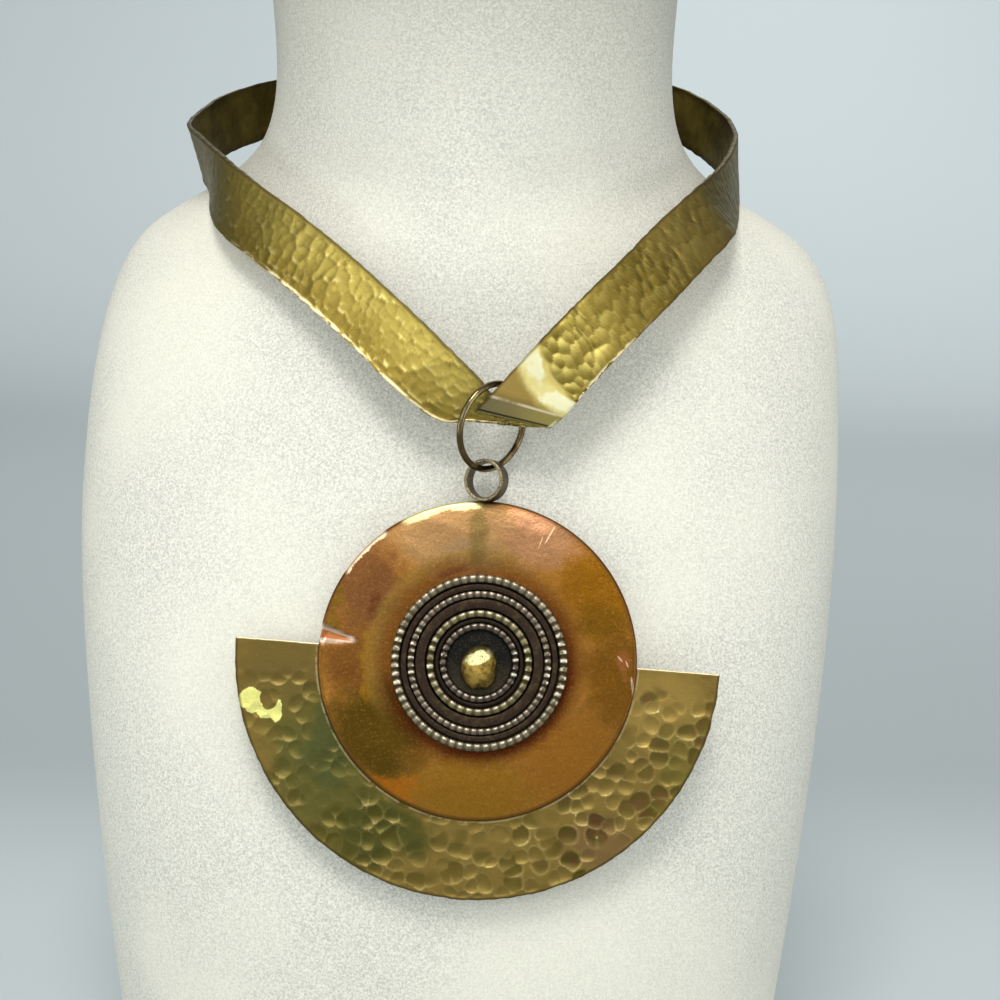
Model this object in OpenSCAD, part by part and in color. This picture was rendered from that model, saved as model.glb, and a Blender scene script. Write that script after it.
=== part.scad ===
// Medallion choker on a neck bust, in millimetres.
// X runs to the viewer's right, Y to the back and Z up.
// The origin is on the surface that the bust stands on, under the axis of the neck.

/* [Neck bust] */
// Height from the base to the top of the neck
bust_height = 316; // [314:1:340]
// Number of points round each section of the bust
bust_points = 48; // [24:4:64]

/* [Choker band] */
// Width of the brass strip
band_width = 16; // [14:0.5:17]
// Thickness of the brass strip
band_thickness = 1.2; // [0.8:0.1:1.4]
// Gap between the two ends of the strip, behind the neck
band_end_gap = 9; // [8:0.5:10]

/* [Clasp] */
// Diameter of the clasp's wire
clasp_wire = 1.6; // [1:0.1:1.8]
// Distance between the two straight sides of the clasp, wire centre to wire centre
clasp_width = 5.5; // [5:0.1:6]
// Diameter of the hole in each end of the strip
clasp_hole = 2.2; // [2:0.1:2.6]

/* [Jump ring] */
// Radius of the jump ring, to the centre of its wire
jump_ring_radius = 10.4; // [10:0.1:10.8]
// Diameter of the jump ring's wire
jump_ring_wire = 1.6; // [1.2:0.1:1.8]
// Turn of the jump ring about the vertical
jump_ring_turn = 44; // [40:1:50]
// Lean of the jump ring, foot to the back
jump_ring_lean = 6; // [0:1:8]

/* [Pendant] */
// Lean of the pendant, top to the back
pendant_lean = 12.5; // [10:0.5:15]
// Turn of the half-moon plate in its own plane, right side down
half_moon_turn = 3; // [0:0.5:5]
// Radius of the copper disc
disc_radius = 38.2; // [36:0.1:40]
// Thickness of the copper disc
disc_thickness = 1; // [0.8:0.1:1.2]
// How far the disc's rim stands behind its flat middle
disc_depth = 3.2; // [3:0.1:4]
// Radius of the half-moon plate
half_moon_radius = 58.2; // [54:0.1:60]
// Thickness of the half-moon plate
half_moon_thickness = 1.2; // [1:0.1:1.5]
// Height of the half-moon's straight edge over the disc's centre
half_moon_rise = 1.2; // [0:0.1:3]
// Outer diameter of the bail
bail_diameter = 10.2; // [9.6:0.1:10.4]
// Wall of the bail
bail_wall = 0.85; // [0.8:0.05:1]
// Length of the bail
bail_length = 3.8; // [3.5:0.1:4.4]
// Turn of the bail, front end to the left
bail_turn = 24; // [15:1:30]

/* [Rosette] */
// Radius of the rosette's base plate
rosette_radius = 20.9; // [20:0.1:22]
// Height of the nugget
nugget_height = 4.2; // [3:0.1:5]

/* [Hidden] */

// Clearance between pieces that lie on each other
seat_gap = 0.1;
// Clearance that keeps cut shapes from sharing a face
cut_margin = 1;
// Sides of the round wire's section
wire_sides = 24;

// Sections of the bust, from the base up. The last two rows follow bust_height.
// Columns: height, half width, front face, back face, exponent of the rounding,
// then the place of the widest line: how far to the right, how far back
bust_sections = [
    [0, 87, -78, 47, 2.6, 0, 0],
    [4, 88.5, -80.5, 48.5, 2.6, 0, 0],
    [30, 91.5, -84, 50, 2.6, 0, 0],
    [60, 95, -86, 52, 2.6, 0, 0],
    [95, 98.4, -85.2, 53, 2.6, 0, 0],
    [130, 101.3, -79.2, 54, 2.55, 0, 0],
    [160, 103, -71, 54, 2.45, 0, 2],
    [190, 102.3, -62, 53.5, 2.3, 0.7, 4],
    [210, 100.5, -57, 52.5, 2.1, 1.7, 6],
    [225, 97.2, -54, 52, 1.85, 2.2, 10],
    [236, 90.2, -52.3, 51.6, 1.6, 2, 12],
    [244, 77.8, -51.4, 51.2, 1.5, 1.5, 12],
    [252, 64.8, -50.9, 51, 1.6, 1.4, 10],
    [262, 55.8, -50.8, 51, 1.85, 1.5, 5],
    [277, 52.4, -51, 51.2, 2, 1.4, 0],
    [295, 53.2, -51.6, 51.8, 2, 1, 0],
    [bust_height - 2.5, 54.4, -52.4, 52.4, 2, 0.8, 0],
    [bust_height, 52.2, -50.2, 50.2, 2, 0.8, 0]
];

// Stations of the band's left part, from the back of the neck to the front.
// Columns: x, y, z of the upper edge, then a step x, y, z that points across to the lower edge
left_stations = [
    [-15, 55, 281, 0, 0, -16],
    [-30, 54.2, 280.4, -0.2, 0, -16],
    [-45, 51.2, 279.2, -0.4, 0, -16],
    [-56.4, 45.5, 277.6, -0.5, 0, -16],
    [-63.9, 38, 275.1, 0.5, 0, -16],
    [-69.8, 28, 272.1, 1, 1.6, -15.9],
    [-73.8, 16.5, 268.2, 1.6, 3.4, -15.5],
    [-75, 1, 264, 3.5, 5.6, -14.6],
    [-69.8, -11.5, 260.5, 1.7, 6.4, -14.5],
    [-63.3, -22.5, 256.6, -2.8, 4.8, -15],
    [-56.9, -31.5, 252.6, -5.9, 1.5, -14.8],
    [-49.7, -38.5, 248.2, -8.1, -0.5, -13.7],
    [-40.1, -46.5, 242.4, -9.3, -1.4, -12.9],
    [-27, -55.5, 233.3, -10, -1.5, -12.4],
    [-14.3, -63, 223.3, -10.4, -1.5, -12.1],
    [-4.3, -68.5, 214.7, -10.4, -1, -12.1]
];

// The left part's foot, where it lies behind the right part.
// Columns: x, y, z of the upper edge, then x, y, z of the lower edge
left_foot = [
    [5, -71.6, 206.2, -4.5, -71.6, 195.6],
    [8.2, -71.6, 202.4, 3, -71.6, 195.5],
    [15.5, -71.6, 197.2, 12, -71.6, 195.2],
    [21.4, -71.6, 195.6, 20.6, -71.6, 194.8]
];

// Stations of the band's right part, from the front to the back of the neck, in the same columns
right_stations = [
    [28.3, -66.5, 224.2, 11.6, -1.5, -10.9],
    [39.9, -58, 235.2, 11.7, -1, -10.9],
    [47.9, -50, 242.9, 11.8, 0, -10.8],
    [55.8, -40.5, 249.6, 11.4, 2.6, -10.9],
    [61, -31, 253.3, 8.8, 6.4, -11.6],
    [66.3, -18, 257.2, 5.2, 7.6, -13],
    [71.3, 0, 263, 1.8, 4.6, -15.2],
    [72.2, 10, 266, 0.4, 3.8, -15.5],
    [71.6, 21, 269.3, -0.6, 2.8, -15.7],
    [69.2, 30, 272.2, -0.5, 1.8, -15.9],
    [65.6, 38, 275.1, -0.1, 0.8, -16],
    [57.6, 45.5, 278.8, 0.8, 0, -16],
    [45, 51.2, 280.2, 0.4, 0, -16],
    [30, 54.2, 280.8, 0.2, 0, -16],
    [15, 55, 281, 0, 0, -16]
];

// The right part's foot: its folded-back lip, the crease over it, and the flat start of its leg
right_foot = [
    [4.4, -72.7, 198.3, 22.4, -72.7, 194.6],
    [8.8, -73.7, 203.1, 26.4, -73.7, 198.2],
    [21.6, -70.6, 217.4, 32.8, -71.8, 206]
];

// Height of the strip's upper edge behind the neck, and its distance behind the neck's axis
band_back_height = left_stations[0][2];
band_back_depth = left_stations[0][1];
// Pieces that each stretch between two stations is divided into
band_steps = 3;

// How far past each end of the strip the clasp's round end begins
clasp_reach = 0.5;

// Where the jump ring's wire crosses over the foot of the V
jump_ring_seat = [9.4, -72, 204.7];

// Centre of the disc's front face
disc_centre = [6.6, -82.3, 139.6];
// Radius of the flat middle of the disc
disc_flat_radius = 21.5;
// Drop of the disc's curved border, width of its rounded edge,
// and the share of that width at which the rounding has its corner
disc_drop = 1.5;
disc_edge = 1;
disc_edge_share = 0.3;
// Pieces that the curved border is divided into
disc_border_steps = 6;
// Distance of the bail from the upright through the disc's centre, and its place in the rim's depth
bail_offset = 1;
bail_depth = -1.5;
// How far the bail is sunk into the rim where it is soldered on
bail_sink = 0.2;

// Place of the rosette on the disc: how far to the right and how far up
rosette_offset = [0.5, -0.4];
// The rosette's base: height of its floor and of the plain raised bands on it
rosette_floor = 0.9;
rosette_band_height = 1.7;
// Inner and outer radius of each plain raised band
rosette_bands = [[9.6, 10.5], [12.9, 15.2], [17.3, 18.7]];
// Columns: radius of the ring, radius of its wire, number of ribs
beaded_rings = [
    [20.1, 0.75, 62],
    [16.3, 0.6, 60],
    [11.7, 0.65, 34],
    [8.6, 0.6, 31]
];
// Depth of the grooves between the ribs, as a share of the wire's radius
rib_depth = 0.28;
// Sides of the ribbed wire
rib_sides = 6;

// Half width and half height of the nugget, and how far it sits below the rosette's centre
nugget_half_width = 4.2;
nugget_half_height = 5.4;
nugget_drop = 1.1;
// Sections over the nugget's height: share of its height, share of its size
nugget_sections = [[0, 0.8], [0.12, 0.96], [0.35, 1], [0.6, 0.86], [0.82, 0.6], [0.96, 0.3], [1, 0.08]];
nugget_points = 14;
// Depth of the nugget's lumps, as a share of its size
nugget_lumps = 0.07;
// Columns: lumps round the nugget, their place in degrees, their turn over its height, their strength
nugget_waves = [[2, 40, 0, 1], [3, 0, 200, 1], [5, 0, -90, 0.6]];

$fn = 96;

// A point on a smooth curve through b and c, with a and d as their neighbours
function curve_at(a, b, c, d, t) =
    0.5 * (2 * b + (c - a) * t + (2 * a - 5 * b + 4 * c - d) * t ^ 2 + (3 * b - a - 3 * c + d) * t ^ 3);

// Rows of a table with smooth rows put in between
function smooth_rows(rows, steps) = let (last = len(rows) - 1) [
    for (i = [0 : last - 1], s = [0 : steps - 1])
        curve_at(rows[max(i - 1, 0)], rows[i], rows[i + 1], rows[min(i + 2, last)], s / steps),
    rows[last]
];

function sign_power(value, exponent) = sign(value) * pow(abs(value), exponent);

function unit(vector) = vector / norm(vector);

// Points of one section of the bust
function bust_ring(section) = [
    for (i = [0 : bust_points - 1])
        let (
            angle = 360 * i / bust_points,
            depth = sin(angle) < 0 ? section[6] - section[2] : section[3] - section[6]
        )
        [
            section[5] + section[1] * sign_power(cos(angle), 2 / section[4]),
            section[6] + depth * sign_power(sin(angle), 2 / section[4]),
            section[0]
        ]
];

// Faces between two rings of a lofted shape, given each ring's first point
function wall_faces(lower, upper, count) = [
    for (i = [0 : count - 1])
        let (next = (i + 1) % count)
        each [[lower + i, upper + i, upper + next], [lower + i, upper + next, lower + next]]
];

// A closed solid through a row of rings with the same number of points
module loft(rings) {
    count = len(rings[0]);
    last = len(rings) - 1;
    polyhedron(
        points = [for (ring = rings) each ring],
        faces = [
            [for (i = [0 : count - 1]) i],
            for (k = [0 : last - 1]) each wall_faces(k * count, (k + 1) * count, count),
            [for (i = [count - 1 : -1 : 0]) last * count + i]
        ]
    );
}

// A closed hoop through rings, the last one joined to the first
module hoop_loft(rings) {
    count = len(rings[0]);
    total = len(rings);
    polyhedron(
        points = [for (ring = rings) each ring],
        faces = [for (k = [0 : total - 1]) each wall_faces(k * count, ((k + 1) % total) * count, count)]
    );
}

// Upper and lower edge of the strip at a station
function strip_edges(station) =
    let (
        upper = [station[0], station[1], station[2]],
        across = [station[3], station[4], station[5]]
    )
    concat(upper, upper + band_width * unit(across));

function upper_edge(row) = [row[0], row[1], row[2]];
function lower_edge(row) = [row[3], row[4], row[5]];
function strip_middle(row) = (upper_edge(row) + lower_edge(row)) / 2;

// The four corners of the strip's section at row i
function strip_ring(rows, i) =
    let (
        along = strip_middle(rows[min(i + 1, len(rows) - 1)]) - strip_middle(rows[max(i - 1, 0)]),
        across = lower_edge(rows[i]) - upper_edge(rows[i]),
        half = unit(cross(across, along)) * band_thickness / 2
    )
    [
        upper_edge(rows[i]) - half, upper_edge(rows[i]) + half,
        lower_edge(rows[i]) + half, lower_edge(rows[i]) - half
    ];

module strip(rows) {
    loft([for (i = [0 : len(rows) - 1]) strip_ring(rows, i)]);
}

// The free end of the strip behind the neck, on one side (-1 is left)
function back_end(side) = [
    side * band_end_gap / 2, band_back_depth, band_back_height,
    side * band_end_gap / 2, band_back_depth, band_back_height - band_width
];

module neck_bust() {
    color("#eae7dc") loft([for (section = smooth_rows(bust_sections, 2)) bust_ring(section)]);
}

module choker_band() {
    left_rows = smooth_rows([for (station = left_stations) strip_edges(station)], band_steps);
    right_rows = smooth_rows([for (station = right_stations) strip_edges(station)], band_steps);
    color("#b08f2e")
    difference() {
        union() {
            strip(concat([back_end(-1)], left_rows, left_foot));
            strip(concat(right_foot, right_rows, [back_end(1)]));
        }
        for (side = [-1, 1])
            translate([side * (band_end_gap / 2 + clasp_reach + clasp_width / 2), band_back_depth,
                band_back_height - band_width / 2])
                rotate([90, 0, 0])
                    cylinder(d = clasp_hole, h = 2 * (band_thickness + cut_margin), center = true);
    }
}

// An oval link in the level plane, with its wire's centre at the given reach each side
module clasp() {
    reach = band_end_gap / 2 + clasp_reach;
    color("#8a7434")
    translate([0, band_back_depth, band_back_height - band_width / 2])
        for (side = [-1, 1]) {
            translate([side * reach, 0, 0])
                rotate([0, 0, side > 0 ? -90 : 90])
                    rotate_extrude(angle = 180)
                        translate([clasp_width / 2, 0]) circle(d = clasp_wire, $fn = wire_sides);
            translate([0, side * clasp_width / 2, 0])
                rotate([0, 90, 0]) cylinder(d = clasp_wire, h = 2 * reach, center = true, $fn = wire_sides);
        }
}

module jump_ring() {
    color("#5f4a2c")
    translate(jump_ring_seat)
        rotate([jump_ring_lean, 0, jump_ring_turn])
            translate([0, 0, -jump_ring_radius])
                rotate([90, 0, 0])
                    rotate_extrude()
                        translate([jump_ring_radius, 0]) circle(d = jump_ring_wire, $fn = wire_sides);
}

// Puts a piece drawn flat, front upwards and top along Y, in its place on the pendant
module on_pendant() {
    translate(disc_centre) rotate([90 - pendant_lean, 0, 0]) children();
}

// Half profile of the disc: flat middle, curved border and a rim turned to the back
function disc_border(offset) = [
    for (k = [0 : disc_border_steps])
        let (share = k / disc_border_steps)
        [
            disc_flat_radius + (disc_radius - disc_edge - disc_flat_radius) * share,
            -offset - disc_drop * share ^ 2
        ]
];

module disc_profile() {
    front = disc_border(0);
    back = disc_border(disc_thickness);
    polygon(concat(
        [[0, 0]],
        front,
        [
            [disc_radius - disc_edge * disc_edge_share, -disc_drop - disc_edge * disc_edge_share],
            [disc_radius, -disc_drop - disc_edge]
        ],
        [[disc_radius, -disc_depth], [disc_radius - disc_thickness, -disc_depth]],
        [for (k = [disc_border_steps : -1 : 0]) back[k]],
        [[0, -disc_thickness]]
    ));
}

// Puts a piece drawn flat in its place on the rosette
module on_rosette() {
    on_pendant() translate([rosette_offset[0], rosette_offset[1], seat_gap]) children();
}

module bail() {
    translate([bail_offset, disc_radius + bail_diameter / 2 - bail_sink, bail_depth])
        rotate([0, -bail_turn, 0])
            difference() {
                cylinder(d = bail_diameter, h = bail_length, center = true);
                cylinder(d = bail_diameter - 2 * bail_wall, h = bail_length + cut_margin, center = true);
            }
}

module disc() {
    color("#b5692a")
    on_pendant() {
        rotate_extrude() disc_profile();
        bail();
    }
}

module half_moon() {
    color("#9c8434")
    on_pendant()
        rotate([0, 0, -half_moon_turn])
            translate([0, half_moon_rise, -disc_depth - seat_gap - half_moon_thickness])
                linear_extrude(half_moon_thickness)
                    intersection() {
                        circle(r = half_moon_radius);
                        translate([-half_moon_radius, -half_moon_radius])
                            square([2 * half_moon_radius, half_moon_radius]);
                    }
}

module rosette_base() {
    color("#3b2a24")
    on_rosette()
        union() {
            cylinder(r = rosette_radius, h = rosette_floor);
            for (band = rosette_bands)
                rotate_extrude()
                    translate([band[0], rosette_floor / 2])
                        square([band[1] - band[0], rosette_band_height - rosette_floor / 2]);
        }
}

// A ring of wire with ribs across it, lying on the rosette's floor
module beaded_ring(row) {
    ring_radius = row[0];
    wire_radius = row[1];
    stations = 2 * row[2];
    color("#8d8468")
    on_rosette() translate([0, 0, rosette_floor + seat_gap + wire_radius])
        hoop_loft([
            for (k = [0 : stations - 1])
                let (
                    turn = 360 * k / stations,
                    section = wire_radius * (k % 2 == 0 ? 1 : 1 - rib_depth)
                )
                [
                    for (s = [0 : rib_sides - 1])
                        let (
                            angle = -360 * (s + 0.5) / rib_sides,
                            radius = ring_radius + section * cos(angle)
                        )
                        [radius * cos(turn), radius * sin(turn), section * sin(angle)]
                ]
        ]);
}

module beaded_ring_1() { beaded_ring(beaded_rings[0]); }
module beaded_ring_2() { beaded_ring(beaded_rings[1]); }
module beaded_ring_3() { beaded_ring(beaded_rings[2]); }
module beaded_ring_4() { beaded_ring(beaded_rings[3]); }

function total(values, i = 0) = i < len(values) ? values[i] + total(values, i + 1) : 0;

// Radius of the nugget at an angle, uneven like a melted lump
function nugget_reach(angle, level) =
    1 + nugget_lumps * total([
        for (wave = nugget_waves)
            wave[3] * sin(wave[0] * angle + wave[1] + wave[2] * level)
    ]);

module nugget() {
    color("#a9924a")
    on_rosette() translate([0, -nugget_drop, rosette_floor + seat_gap])
        loft([
            for (section = nugget_sections)
                [
                    for (i = [0 : nugget_points - 1])
                        let (
                            angle = 360 * i / nugget_points,
                            reach = section[1] * nugget_reach(angle, section[0])
                        )
                        [
                            nugget_half_width * reach * cos(angle),
                            nugget_half_height * reach * sin(angle),
                            nugget_height * section[0]
                        ]
                ]
        ]);
}

neck_bust();
choker_band();
clasp();
jump_ring();
disc();
half_moon();
rosette_base();
beaded_ring_1();
beaded_ring_2();
beaded_ring_3();
beaded_ring_4();
nugget();
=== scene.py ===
"""Medallion choker on a neck bust: the looks of each piece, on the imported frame, in metres."""
from bisect import bisect_right
from math import atan2, cos, floor, hypot, pi, radians, sin

import bmesh
import bpy
from bpy.props import FloatProperty, FloatVectorProperty, PointerProperty
from mathutils import Matrix, Vector, noise


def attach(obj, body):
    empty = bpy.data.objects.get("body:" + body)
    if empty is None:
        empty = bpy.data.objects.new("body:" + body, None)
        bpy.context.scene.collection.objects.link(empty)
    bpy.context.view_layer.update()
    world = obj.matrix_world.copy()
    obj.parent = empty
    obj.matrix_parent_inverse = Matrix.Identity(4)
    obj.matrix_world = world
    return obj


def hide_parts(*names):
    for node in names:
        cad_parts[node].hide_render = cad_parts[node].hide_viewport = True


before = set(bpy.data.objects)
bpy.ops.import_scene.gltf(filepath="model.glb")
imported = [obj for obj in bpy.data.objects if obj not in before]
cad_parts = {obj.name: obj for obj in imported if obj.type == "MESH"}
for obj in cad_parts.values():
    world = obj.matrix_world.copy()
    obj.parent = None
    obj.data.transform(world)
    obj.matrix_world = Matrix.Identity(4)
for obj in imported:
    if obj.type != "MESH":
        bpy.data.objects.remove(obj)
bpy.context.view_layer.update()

bl_info = {
    "name": "Medallion Choker",
    "version": (1, 0, 0),
    "blender": (4, 5, 0),
    "location": "View3D > Sidebar > Choker",
    "description": "Hammered brass choker with a copper pendant, on a neck bust",
    "category": "Add Mesh",
}

MM = 0.001
TO_MM = Matrix.Scale(MM, 4)

# The band's stations, as in the part's source, in millimetres: the upper edge, then a step across.
LEFT_STATIONS = [
    [-15, 55, 281, 0, 0, -16],
    [-30, 54.2, 280.4, -0.2, 0, -16],
    [-45, 51.2, 279.2, -0.4, 0, -16],
    [-56.4, 45.5, 277.6, -0.5, 0, -16],
    [-63.9, 38, 275.1, 0.5, 0, -16],
    [-69.8, 28, 272.1, 1, 1.6, -15.9],
    [-73.8, 16.5, 268.2, 1.6, 3.4, -15.5],
    [-75, 1, 264, 3.5, 5.6, -14.6],
    [-69.8, -11.5, 260.5, 1.7, 6.4, -14.5],
    [-63.3, -22.5, 256.6, -2.8, 4.8, -15],
    [-56.9, -31.5, 252.6, -5.9, 1.5, -14.8],
    [-49.7, -38.5, 248.2, -8.1, -0.5, -13.7],
    [-40.1, -46.5, 242.4, -9.3, -1.4, -12.9],
    [-27, -55.5, 233.3, -10, -1.5, -12.4],
    [-14.3, -63, 223.3, -10.4, -1.5, -12.1],
    [-4.3, -68.5, 214.7, -10.4, -1, -12.1],
]
RIGHT_STATIONS = [
    [28.3, -66.5, 224.2, 11.6, -1.5, -10.9],
    [39.9, -58, 235.2, 11.7, -1, -10.9],
    [47.9, -50, 242.9, 11.8, 0, -10.8],
    [55.8, -40.5, 249.6, 11.4, 2.6, -10.9],
    [61, -31, 253.3, 8.8, 6.4, -11.6],
    [66.3, -18, 257.2, 5.2, 7.6, -13],
    [71.3, 0, 263, 1.8, 4.6, -15.2],
    [72.2, 10, 266, 0.4, 3.8, -15.5],
    [71.6, 21, 269.3, -0.6, 2.8, -15.7],
    [69.2, 30, 272.2, -0.5, 1.8, -15.9],
    [65.6, 38, 275.1, -0.1, 0.8, -16],
    [57.6, 45.5, 278.8, 0.8, 0, -16],
    [45, 51.2, 280.2, 0.4, 0, -16],
    [30, 54.2, 280.8, 0.2, 0, -16],
    [15, 55, 281, 0, 0, -16],
]
# The strip's free ends and feet: the upper edge, then the lower edge.
LEFT_END = [-4.5, 55, 281, -4.5, 55, 265]
RIGHT_END = [4.5, 55, 281, 4.5, 55, 265]
LEFT_FOOT = [
    [5, -71.6, 206.2, -4.5, -71.6, 195.6],
    [8.2, -71.6, 202.4, 3, -71.6, 195.5],
    [15.5, -71.6, 197.2, 12, -71.6, 195.2],
    [21.4, -71.6, 195.6, 20.6, -71.6, 194.8],
]
FOLD_LIP = [4.4, -72.7, 198.3, 22.4, -72.7, 194.6]
FOLD_CREASE = [8.8, -73.7, 203.1, 26.4, -73.7, 198.2]
FOLD_LEG = [21.6, -70.6, 217.4, 32.8, -71.8, 206]
# Width of the folded-back lip under the crease.
FOLD_WIDTH = 4.9
BAND_WIDTH = 16.0
# The middle of the neck at the band's height, in metres.
NECK_MIDDLE = (0, 0, 0.26)
# The clasp's holes: from the strip's end to the middle, and the radius.
HOLE_PLACE = 3.25
HOLE_RADIUS = 1.1
# Each leg has a seed of its own, which also tells its finish which leg it is.
LEFT_SEED = 4.3
RIGHT_SEED = 11.7

# Places on the pendant are in millimetres from the middle of the disc's face: right, up, front.
PENDANT = Matrix.Translation((0.0066, -0.0823, 0.1396)) @ Matrix.Rotation(radians(77.5), 4, "X")
HALF_MOON = Matrix.Rotation(radians(-3), 4, "Z")
HALF_MOON_RADIUS = 58.2
HALF_MOON_UP = 1.2
# The disc's flat middle, the width of its domed border, and how far the border falls.
DISC_FLAT = 21.5
DISC_BORDER = 15.7
DISC_FALL = 1.5
ROSETTE_OFFSET = Vector((0.5, -0.4, 0.1))
ROSETTE_FLOOR = 0.9
ROSETTE_TOP = 1.7
# The rosette's plain raised bands: inner and outer radius.
ROSETTE_BANDS = [(9.6, 10.5), (12.9, 15.2), (17.3, 18.7)]
# Each ribbed ring: radius, half height and half width of its wire, number of ribs,
# colour of its crowns and colour of its grooves at the sides.
RIBBED_RINGS = [
    (20.0, 0.75, 0.75 * 1.3, 62, (154, 142, 114), (66, 55, 40)),
    (16.3, 0.6, 0.6 * 1.35, 60, (142, 126, 108), (58, 48, 38)),
    (11.7, 0.65, 0.65 * 1.35, 34, (150, 138, 100), (64, 54, 34)),
    (8.6, 0.6, 0.6 * 1.35, 31, (116, 104, 92), (44, 38, 33)),
]


# The hammer marks' drift comes from noise that is seeded by the clock, unless it is set here.
noise.seed_set(3)


def tint(red, green, blue):
    """A display colour of 0 to 255 as the linear colour that a shader takes."""
    parts = [value / 255 for value in (red, green, blue)]
    return tuple(p / 12.92 if p <= 0.04045 else ((p + 0.055) / 1.055) ** 2.4 for p in parts)


def ease(value):
    """A soft step from 0 to 1."""
    share = min(max(value, 0.0), 1.0)
    return share * share * (3 - 2 * share)


def ripple(x, y, size, seed):
    """Smooth noise from about -1 to 1, in waves of a size."""
    return noise.noise(Vector((x / size, y / size, seed)))


class Shade:
    """A number, colour or vector in a finish, which can be used in sums."""

    def __init__(self, finish, socket):
        self.finish = finish
        self.socket = socket

    def maths(self, operation, *values):
        return self.finish.node("ShaderNodeMath", {"operation": operation}, dict(enumerate(values)))

    def __add__(self, other):
        return self.maths("ADD", self, other)

    def __radd__(self, other):
        return self.maths("ADD", other, self)

    def __sub__(self, other):
        return self.maths("SUBTRACT", self, other)

    def __rsub__(self, other):
        return self.maths("SUBTRACT", other, self)

    def __mul__(self, other):
        return self.maths("MULTIPLY", self, other)

    def __rmul__(self, other):
        return self.maths("MULTIPLY", other, self)

    def __truediv__(self, other):
        return self.maths("DIVIDE", self, other)

    def __pow__(self, other):
        return self.maths("POWER", self, other)

    def kept(self):
        """This number held between 0 and 1."""
        settings = {"operation": "ADD", "use_clamp": True}
        return self.finish.node("ShaderNodeMath", settings, {0: self, 1: 0.0})

    def between(self, low, high):
        """0 below low and 1 above high, with a soft step in between; low may be the larger."""
        values = {0: self, 1: low, 2: high, 3: 0.0, 4: 1.0}
        if low > high:
            values = {0: self, 1: high, 2: low, 3: 1.0, 4: 0.0}
        return self.finish.node("ShaderNodeMapRange", {"interpolation_type": "SMOOTHSTEP"}, values)

    def within(self, start, full, last_full, end):
        """1 from full to last_full, with a soft step from start and one down to end."""
        return self.between(start, full) * self.between(end, last_full)


def radius_of(across, along):
    """How far a place in a finish is from the middle."""
    return (across * across + along * along) ** 0.5


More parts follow.
